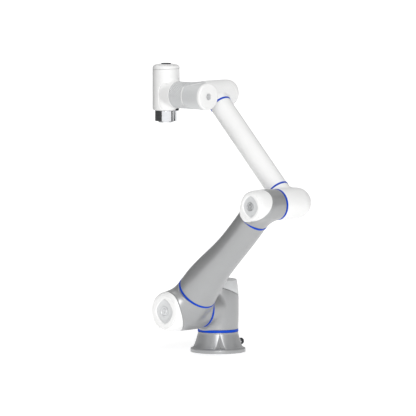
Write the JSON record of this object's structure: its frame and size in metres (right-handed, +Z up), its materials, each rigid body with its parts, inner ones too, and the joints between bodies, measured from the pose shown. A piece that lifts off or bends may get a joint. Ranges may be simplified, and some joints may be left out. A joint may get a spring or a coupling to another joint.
{
  "type": "collaborative robot arm",
  "caption": "Six-axis jointed robot arm with T-shaped joint modules, tapered tubes, blue seal rings and a flanged round base.",
  "frame": {"origin": "centre of the base's underside, on the axis of joint 1", "axes": "+Z up along joint 1, X in the plane of the arm, -Y towards the capped faces of the shoulder and elbow modules"},
  "size_m": [0.6406, 0.429, 1.1269],
  "materials": {
    "grey_shell": "satin mid grey paint",
    "light_shell": "satin light grey paint",
    "white_shell": "satin white",
    "blue_ring": "satin blue seal",
    "steel": "turned steel",
    "aluminium": "satin",
    "motor_winding": "enamelled copper",
    "circuit_board": "matte green",
    "dark_plastic": "matte near black"
  },
  "bodies": {
    "base": {"base_housing": "grey_shell", "base_plate": "aluminium", "base_seal_ring": "blue_ring", "j1_output_flange": "steel", "base_connector": "steel", "connector_cap": "dark_plastic"},
    "shoulder": {"shoulder_housing": "grey_shell", "shoulder_cap": "light_shell", "j1_reducer": "steel", "j1_motor": "motor_winding", "j1_drive_board": "circuit_board", "j2_output_flange": "steel", "j2_seal_ring": "blue_ring"},
    "upper_arm": {"j2_housing": "grey_shell", "j2_cap": "white_shell", "j2_cap_inlay": "light_shell", "j2_cap_plug": "aluminium", "j2_reducer": "steel", "j2_motor": "motor_winding", "j2_drive_board": "circuit_board", "upper_arm_lower_ring": "blue_ring", "upper_arm_tube": "grey_shell", "upper_arm_upper_ring": "blue_ring", "j3_housing": "grey_shell", "j3_cap": "white_shell", "j3_cap_inlay": "light_shell", "j3_cap_plug": "aluminium", "j3_reducer": "steel", "j3_motor": "motor_winding", "j3_drive_board": "circuit_board", "j3_seal_ring": "blue_ring"},
    "forearm": {"elbow_housing": "white_shell", "j3_output_flange": "steel", "forearm_lower_ring": "blue_ring", "forearm_tube": "white_shell", "forearm_upper_ring": "blue_ring", "j4_housing": "white_shell", "j4_cap": "white_shell", "j4_reducer": "steel", "j4_motor": "motor_winding", "j4_drive_board": "circuit_board"},
    "wrist_1": {"j4_output_flange": "steel", "j5_housing": "light_shell", "j5_cap": "white_shell", "j5_cap_plug": "aluminium", "j5_light_ring": "white_shell", "j5_cover": "light_shell", "j5_reducer": "steel", "j5_motor": "motor_winding", "j5_drive_board": "circuit_board"},
    "wrist_2": {"j5_output_flange": "steel", "j6_housing": "white_shell", "j6_cap": "white_shell", "tool_io_socket": "dark_plastic", "j6_reducer": "steel", "j6_motor": "motor_winding", "j6_drive_board": "circuit_board"},
    "button": {"teach_button": "dark_plastic"},
    "tool": {"tool_flange": "steel"}
  },
  "joints": [
    {"name": "j1_base_turn", "type": "hinge", "parent": "base", "child": "shoulder", "pos_m": [0, 0, 0], "axis": [0, 0, 1], "range_deg": [-360, 360]},
    {"name": "j2_shoulder_swing", "type": "hinge", "parent": "shoulder", "child": "upper_arm", "pos_m": [0, 0, 0.1765], "axis": [0, 1, 0], "range_deg": [-405, 315]},
    {"name": "j3_elbow_swing", "type": "hinge", "parent": "upper_arm", "child": "forearm", "pos_m": [0.42921, 0, 0.60571], "axis": [0, 1, 0], "range_deg": [-64, 246]},
    {"name": "j4_wrist_swing", "type": "hinge", "parent": "forearm", "child": "wrist_1", "pos_m": [0.02758, 0, 1.00735], "axis": [0, 1, 0], "range_deg": [-315, 405]},
    {"name": "j5_wrist_roll", "type": "hinge", "parent": "wrist_1", "child": "wrist_2", "pos_m": [0.02758, -0.188, 1.00735], "axis": [1, 0, 0], "range_deg": [-450, 270]},
    {"name": "j6_tool_spin", "type": "hinge", "parent": "wrist_2", "child": "tool", "pos_m": [-0.09642, -0.188, 1.00735], "axis": [0, 0, 1], "range_deg": [-360, 360]},
    {"name": "teach_button_press", "type": "slide", "parent": "wrist_2", "child": "button", "axis": [0, 0, -1], "range_m": [0, 0.0015], "stiffness_N_per_m": 1500, "springref_m": -0.001}
  ]
}
